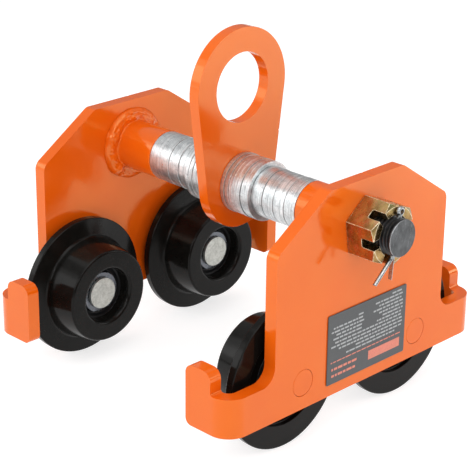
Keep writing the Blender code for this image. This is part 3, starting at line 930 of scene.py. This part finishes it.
def thread_radius(share):
    """The thread's radius at a share of the pitch: crest, flank, root and flank."""
    flank = (1 - THREAD_CREST - THREAD_ROOT) / 2
    into = (share - THREAD_CREST) / flank
    back = (share - THREAD_CREST - flank - THREAD_ROOT) / flank
    depth = min(max(into, 0), 1) - max(back, 0)
    return SHAFT_R - THREAD_GAP - THREAD_DEPTH * depth


def thread_rows(lead):
    """(radius, y) down the shaft where the helix has come this share of a turn."""
    rows = math.ceil((SHAFT_END - THREAD_INNER) / PITCH + 2) * PER_PITCH
    points = []
    for j in range(rows + 1):
        out = THREAD_INNER + (j / PER_PITCH - 1 + lead) * PITCH
        radius = thread_radius((j % PER_PITCH) / PER_PITCH)
        if out > SHAFT_END - END_BAND:
            radius = SHAFT_R - END_BAND_GAP
        radius = min(radius, SHAFT_R - SHAFT_CHAMFER + max(SHAFT_END - out, 0))
        if out <= THREAD_INNER:
            radius = SHAFT_R
        points.append((radius, -min(max(out, THREAD_INNER), SHAFT_END)))
    return points


def load_shaft():
    """The welded tail, the hidden middle, the thread and the end face in one skin."""
    body = bmesh.new()
    tail = [(radius, OUTER_FACE + height) for radius, height in reversed(TAIL_WELD)]
    end = [(SHAFT_R - SHAFT_CHAMFER - END_FACE_RIM, -SHAFT_END), (0.0, -SHAFT_END)]
    columns = []
    for k in range(AROUND + 1):
        t = math.tau * k / AROUND
        columns.append([
            body.verts.new((radius * math.cos(t), y, radius * math.sin(t)))
            for radius, y in tail + thread_rows(k / AROUND) + end
        ])
    for a, b in zip(columns, columns[1:]):
        for i in range(len(a) - 1):
            body.faces.new((a[i], a[i + 1], b[i + 1], b[i]))
    mesh = finished(body, "shaft_threaded", sharp=42.0)
    shaft = piece("shaft_threaded", mesh, "frame", ["load_shaft"],
                  (0, MIDDLE_Y, SHAFT_Z), [LOOKS[name] for name in SHAFT_LOOKS])
    for face in shaft.data.polygons:
        from_end = face.center.y + SHAFT_END
        if face.center.y > OUTER_FACE:
            face.material_index = SHAFT_LOOKS.index("orange")
        elif from_end < END_FACE_DEPTH:
            face.material_index = SHAFT_LOOKS.index("thread_end")
        # The chamfer round the end face takes the lighter colour, a painted highlight on the
        # rim
        elif from_end < SHAFT_CHAMFER:
            face.material_index = SHAFT_LOOKS.index("thread_edge_highlight")


# Castle nut, made flat with its crown up and then stood up

NUT_SIDES = 6
NUT_FLATS = 0.041
NUT_HEIGHT = 0.024
NUT_TURN = 8.0
NUT_FACE_SHARE = 0.99
NUT_CHAMFER = 30.0
NUT_BORE_R = SHAFT_R - 0.0004
NUT_SINK = 0.0016
SLOT_WIDTH = 0.0068
SLOT_DEPTH = 0.0108
SLOT_CORNER_R = 0.0012
OVERCUT = 0.001
NUT_EDGE = 0.00032
NUT_MERGE = 0.0002
NUT_FLAT_ANGLE = 0.3


def loose(name, body):
    """A plain object for a Boolean, outside the finished scene."""
    bmesh.ops.remove_doubles(body, verts=body.verts, dist=MERGE)
    obj = bpy.data.objects.new(name, closed_mesh(body, name))
    SCENE.collection.objects.link(obj)
    return obj


def nut_envelope(corner_r, top):
    """What the chamfer of the crown's face leaves."""
    face_r = NUT_FACE_SHARE * NUT_FLATS / 2
    rim_r = corner_r + 2 * OVERCUT
    drop = (rim_r - face_r) * math.tan(math.radians(NUT_CHAMFER))
    under = -top - OVERCUT
    profile = [(0, top), (face_r, top), (rim_r, top - drop), (rim_r, under), (0, under)]
    return profile


def nut_bore(top):
    """The hole with a countersink at each end."""
    mouth_r = NUT_BORE_R + NUT_SINK + OVERCUT
    past = top + OVERCUT
    sink = top - NUT_SINK
    return [
        (0, past), (mouth_r, past), (NUT_BORE_R, sink),
        (NUT_BORE_R, -sink), (mouth_r, -past), (0, -past),
    ]


def nut_slot(length, top, turn):
    """A bar with rounded lower edges, for one cut right across the crown."""
    body = bmesh.new()
    bmesh.ops.create_cube(body, size=1)
    depth = SLOT_DEPTH + 2 * OVERCUT
    bmesh.ops.scale(body, vec=(length, SLOT_WIDTH, depth), verts=body.verts)
    along = [e for e in body.edges if abs(e.verts[0].co.x - e.verts[1].co.x) > length / 2]
    low = [e for e in along if e.verts[0].co.z < 0]
    bmesh.ops.bevel(
        body, geom=low, offset=SLOT_CORNER_R, segments=4, profile=0.5, affect="EDGES"
    )
    bmesh.ops.translate(body, vec=(0, 0, top - SLOT_DEPTH + depth / 2), verts=body.verts)
    bmesh.ops.rotate(body, matrix=Matrix.Rotation(turn, 3, "Z"), verts=body.verts)
    return body


def cut(blank, cutters):
    """The blank's body after each (cutter, operation), which are used up."""
    for cutter, operation in cutters:
        change = blank.modifiers.new(cutter.name, "BOOLEAN")
        change.solver = "EXACT"
        change.operation = operation
        change.object = cutter
    bpy.context.view_layer.update()
    graph = bpy.context.evaluated_depsgraph_get()
    body = bmesh.new()
    body.from_mesh(bpy.data.meshes.new_from_object(blank.evaluated_get(graph)))
    for obj in (blank, *(cutter for cutter, _ in cutters)):
        bpy.data.objects.remove(obj)
    return body


def castle_nut():
    top = NUT_HEIGHT / 2
    corner_r = NUT_FLATS / 2 / math.cos(math.pi / NUT_SIDES)
    angles = [math.tau * (k + 0.5) / NUT_SIDES for k in range(NUT_SIDES)]
    outline = [(corner_r * math.cos(t), corner_r * math.sin(t)) for t in angles]
    blank = loose("nut_blank", flat_body([outline], NUT_HEIGHT))
    cutters = []
    for name, profile, operation in (
        ("nut_envelope", nut_envelope(corner_r, top), "INTERSECT"),
        ("nut_bore", nut_bore(top), "DIFFERENCE"),
    ):
        body = revolved(profile, MEDIUM, closed=False)
        stand(body)
        cutters.append((loose(name, body), operation))
    length = 2 * (corner_r + 2 * OVERCUT)
    for k in range(NUT_SIDES // 2):
        slot = nut_slot(length, top, math.tau * k / NUT_SIDES)
        cutters.append((loose(f"nut_slot_{k}", slot), "DIFFERENCE"))
    body = cut(blank, cutters)
    bmesh.ops.remove_doubles(body, verts=body.verts, dist=NUT_MERGE)
    bmesh.ops.dissolve_limit(
        body, angle_limit=math.radians(NUT_FLAT_ANGLE), verts=body.verts, edges=body.edges
    )
    # The rounded edges take the second slot, whose light colour is a painted highlight along
    # the nut's edges
    soften(body, NUT_EDGE, 2, least=28.0, look=1, clamp=False)
    stand(body, NUT_TURN)
    place = (0, MIDDLE_Y - OUTER_FACE - SEAT - NUT_HEIGHT / 2, SHAFT_Z)
    piece("slotted_nut", finished(body, "slotted_nut", sharp=24.0), "frame",
          ["castle_nut"], place, [LOOKS["yellow"], LOOKS["yellow_edge_highlight"]])


# Cotter pin

PIN_R = 0.0016
PIN_GAP = 0.0002
PIN_EYE_R = 0.0019
PIN_EYE_STAND = 0.0021
PIN_EYE_STEPS = 40
PIN_NECK = 0.0008
PIN_BEND_AT = 0.0154
PIN_BEND_R = 0.004
# Each leg's side, its length past the bend, and its splay in degrees
PIN_LEGS = ((-1, 0.0228, 37.0), (1, 0.0154, 5.0))
PIN_FROM_PLATE = SEAT + NUT_HEIGHT + SEAT + PIN_R
PIN_TILT = -11.0
PIN_SECTION = 14


def pin_path():
    """The wire's flat side in the pin's plane, from the tip of one leg round to the other."""
    gap = PIN_GAP / 2
    centre = SHAFT_R + PIN_EYE_STAND + PIN_EYE_R
    mouth = math.degrees(math.asin(gap / PIN_EYE_R))
    loop = [(a, b + centre) for a, b in arc(PIN_EYE_R, 270 - mouth, mouth - 90, PIN_EYE_STEPS)]
    neck = loop[0][1] - PIN_NECK
    legs = []
    for end, length, splay in PIN_LEGS:
        lean = math.radians(splay)
        x = end * (gap + length * math.sin(lean))
        z = -PIN_BEND_AT - length * math.cos(lean)
        leg = [(x, z, 0), (end * gap, -PIN_BEND_AT, PIN_BEND_R), (end * gap, neck, 0)]
        legs.append(rounded(leg, steps=8, closed=False))
    return legs[0] + loop + legs[1][::-1]


def cotter_pin():
    """Half-round wire along the pin's path."""
    path = [Vector(p) for p in pin_path()]
    body = bmesh.new()
    rings = []
    for i, point in enumerate(path):
        ahead = path[min(i + 1, len(path) - 1)]
        behind = path[max(i - 1, 0)]
        along = (ahead - behind).normalized()
        out = Vector((-along.y, along.x))
        ring = []
        for k in range(PIN_SECTION + 1):
            t = math.pi * k / PIN_SECTION - math.pi / 2
            flat = point + out * PIN_R * math.cos(t)
            ring.append(body.verts.new((flat.x, flat.y, PIN_R * math.sin(t))))
        rings.append(ring)
    for a, b in zip(rings, rings[1:]):
        for k in range(len(a)):
            j = (k + 1) % len(a)
            body.faces.new((a[k], a[j], b[j], b[k]))
    body.faces.new(rings[0])
    body.faces.new(rings[-1][::-1])
    stand(body, PIN_TILT)
    place = (0, MIDDLE_Y - OUTER_FACE - PIN_FROM_PLATE, SHAFT_Z)
    piece("split_pin", finished(body, "split_pin", sharp=50.0), "frame",
          ["cotter_pin"], place, [LOOKS["pin"]])


# Data plate with plain bars in place of print

LABEL_HALF = (0.0415, 0.0265)
LABEL_THICKNESS = 0.0006
LABEL_CORNER_R = 0.001
LABEL_EDGE = 0.00015
LABEL_SHIFT = 0.005
LABEL_HEIGHT = 0.0355
LABEL_PLACE = (
    LABEL_SHIFT, MIDDLE_Y - OUTER_FACE - SEAT - LABEL_THICKNESS / 2, EDGE_Z + LABEL_HEIGHT
)
PRINT_DEPTH = 0.00004
PRINT_PITCH = 0.00275
PRINT_HEIGHT = 0.0012
WORD_WIDTHS = (0.0016, 0.0058)
WORD_GAPS = (0.0007, 0.0011)
WORD_LEAST = 0.001
# Blocks of small print: the first row's height, and where each row starts and ends
PRINT_BLOCKS = (
    (0.0238, ((0.026, 0.038), (0.008, 0.038), (0.012, 0.038), (0.006, 0.038), (0.012, 0.038),
              (0.016, 0.038), (0.010, 0.038))),
    (0.0186, ((-0.010, -0.004), (-0.036, -0.005), (-0.038, -0.004), (-0.033, -0.005),
              (-0.036, -0.006))),
    (0.0046, ((-0.034, 0.038), (-0.038, 0.038), (-0.030, 0.038), (-0.012, 0.038),
              (-0.022, 0.030))),
)
# Warm rows: start, end, height on the plate and height of the print
WARM_ROWS = (
    (-0.038, 0.038, -0.0100, 0.0008),
    (-0.037, -0.010, -0.0155, 0.0018),
    (-0.037, -0.012, -0.0205, 0.0018),
)
# The warm block: left, right, low and high
WARM_BLOCK = (0.002, 0.036, -0.0205, -0.0135)


def bar(body, left, right, low, high, index):
    """A thin printed bar on the data plate's face."""
    y = -LABEL_THICKNESS / 2
    back, front = (
        [
            body.verts.new((x, depth, z))
            for x, z in ((left, low), (right, low), (right, high), (left, high))
        ]
        for depth in (y + PRINT_DEPTH, y - PRINT_DEPTH)
    )
    faces = [body.faces.new(front), body.faces.new(back[::-1])]
    for k in range(4):
        j = (k + 1) % 4
        faces.append(body.faces.new((back[k], back[j], front[j], front[k])))
    for face in faces:
        face.material_index = index


def words(body, left, right, middle, height, index):
    """A row of short bars of uneven length, like small print seen from afar."""
    x = left
    while x < right - WORD_LEAST:
        width = random.uniform(*WORD_WIDTHS)
        bar(body, x, min(x + width, right), middle - height / 2, middle + height / 2, index)
        x += width + random.uniform(*WORD_GAPS)


def data_label():
    x, z = LABEL_HALF
    corners = [(x, -z), (x, z), (-x, z), (-x, -z)]
    outline = rounded([(a, b, LABEL_CORNER_R) for a, b in corners], 6)
    body = flat_body([outline], LABEL_THICKNESS)
    soften(body, LABEL_EDGE, 2)
    stand(body)
    piece("foil_plate", finished(body, "foil"), "frame", ["data_label"],
          LABEL_PLACE, [LOOKS["label"]])

    random.seed(5)
    body = bmesh.new()
    for first, rows in PRINT_BLOCKS:
        for row, (left, right) in enumerate(rows):
            words(body, left, right, first - PRINT_PITCH * row, PRINT_HEIGHT, 0)
    for row in WARM_ROWS:
        words(body, *row, 1)
    bar(body, *WARM_BLOCK, 1)
    piece("foil_print", finished(body, "print"), "frame", (),
          LABEL_PLACE, [LOOKS["ink"], LOOKS["ink_warm"]])


# Studio

FLOOR_SIZE = 60.0
FLOOR_WHITE = (0.50, 0.50, 0.50)
FLOOR_GLOW = 0.70
SKY_TOP = 0.66
SKY_SIDE = 0.25
# Name, place, aim, size and watts of each soft light
SOFTBOXES = (
    ("overhead", (-0.3, 0.2, 1.7), (0, 0, 0.1), (1.4, 1.4), 4.5),
    ("front", (-0.16, -0.46, 0.76), (0, 0, 0.15), (0.6, 0.6), 2.2),
    ("floor_right", (0.78, -0.70, 0.30), (0.78, -0.70, 0), (0.7, 0.7), 6.4),
    ("left_front", (-1.35, -0.45, 0.75), (0, 0, 0.1), (0.35, 0.6), 3.6),
    ("left", (-1.45, 1.3, 0.8), (0, 0, 0.1), (2.4, 1.4), 9),
    ("left_core", (-1.3, 1.2, 0.75), (0, 0, 0.1), (1.3, 0.7), 4),
    ("strip", (-0.72, -1.0, 0.72), (0, 0, 0.1), (0.12, 0.5), 1.8),
)


def floor():
    """A plain pale floor, which glows a little so that it stays white under the part."""
    mesh = bpy.data.meshes.new("floor")
    half = FLOOR_SIZE / 2
    corners = [(-half, -half, 0), (half, -half, 0), (half, half, 0), (-half, half, 0)]
    mesh.from_pydata(corners, [], [(0, 1, 2, 3)])
    obj = bpy.data.objects.new("floor", mesh)
    look = Look("floor_white", FLOOR_WHITE, 0.0, 0.8, Emission_Color=(1, 1, 1, 1),
                Emission_Strength=FLOOR_GLOW, Specular_IOR_Level=0.2)
    mesh.materials.append(look.material)
    SCENE.collection.objects.link(obj)


def sky():
    """A world that is bright above and dim at the sides."""
    world = bpy.data.worlds.new("studio")
    world.use_nodes = True
    nodes, links = world.node_tree.nodes, world.node_tree.links
    background = nodes["Background"]
    background.inputs["Color"].default_value = (1, 1, 1, 1)
    split = nodes.new("ShaderNodeSeparateXYZ")
    links.new(nodes.new("ShaderNodeTexCoord").outputs["Generated"], split.inputs[0])
    rise = nodes.new("ShaderNodeMapRange")
    rise.interpolation_type = "SMOOTHSTEP"
    rise.inputs["To Min"].default_value = SKY_SIDE
    rise.inputs["To Max"].default_value = SKY_TOP
    links.new(split.outputs["Z"], rise.inputs["Value"])
    links.new(rise.outputs["Result"], background.inputs["Strength"])
    SCENE.world = world


def studio():
    SCENE.view_settings.view_transform = "Standard"
    for name, place, aim, size, watts in SOFTBOXES:
        light = bpy.data.lights.new(name, "AREA")
        light.shape = "RECTANGLE"
        light.size, light.size_y = size
        light.energy = watts
        obj = bpy.data.objects.new(name, light)
        SCENE.collection.objects.link(obj)
        obj.location = place
        obj.rotation_euler = (Vector(aim) - Vector(place)).to_track_quat("-Z", "Y").to_euler()
    sky()
    floor()


# Camera at the photo's place

CAMERA_AT = Vector((-0.8185, -0.7944, 0.5756))
CAMERA_AIM = Vector((-0.0015, 0.0140, 0.1099))
CAMERA_ROLL = 0.675
CAMERA_LENS = 128.2
CAMERA_NEAR = 0.05
SENSOR = 36.0


def camera():
    data = bpy.data.cameras.new("camera")
    data.lens = CAMERA_LENS
    data.sensor_width = SENSOR
    data.clip_start = CAMERA_NEAR
    obj = bpy.data.objects.new("camera", data)
    SCENE.collection.objects.link(obj)
    forward = (CAMERA_AIM - CAMERA_AT).normalized()
    right = forward.cross(Vector((0, 0, 1))).normalized()
    up = right.cross(forward)
    roll = math.radians(CAMERA_ROLL)
    x = right * math.cos(roll) + up * math.sin(roll)
    y = up * math.cos(roll) - right * math.sin(roll)
    turn = Matrix((x, y, -forward)).transposed().to_4x4()
    obj.matrix_world = Matrix.Translation(CAMERA_AT) @ turn
    SCENE.camera = obj


for name in SIDES:
    side_plate(name)
    sleeve(name)
    for tip in ENDS:
        wheel_set(name, tip)
shaft_rings()
eye_plate()
load_shaft()
castle_nut()
cotter_pin()
data_label()
studio()
camera()
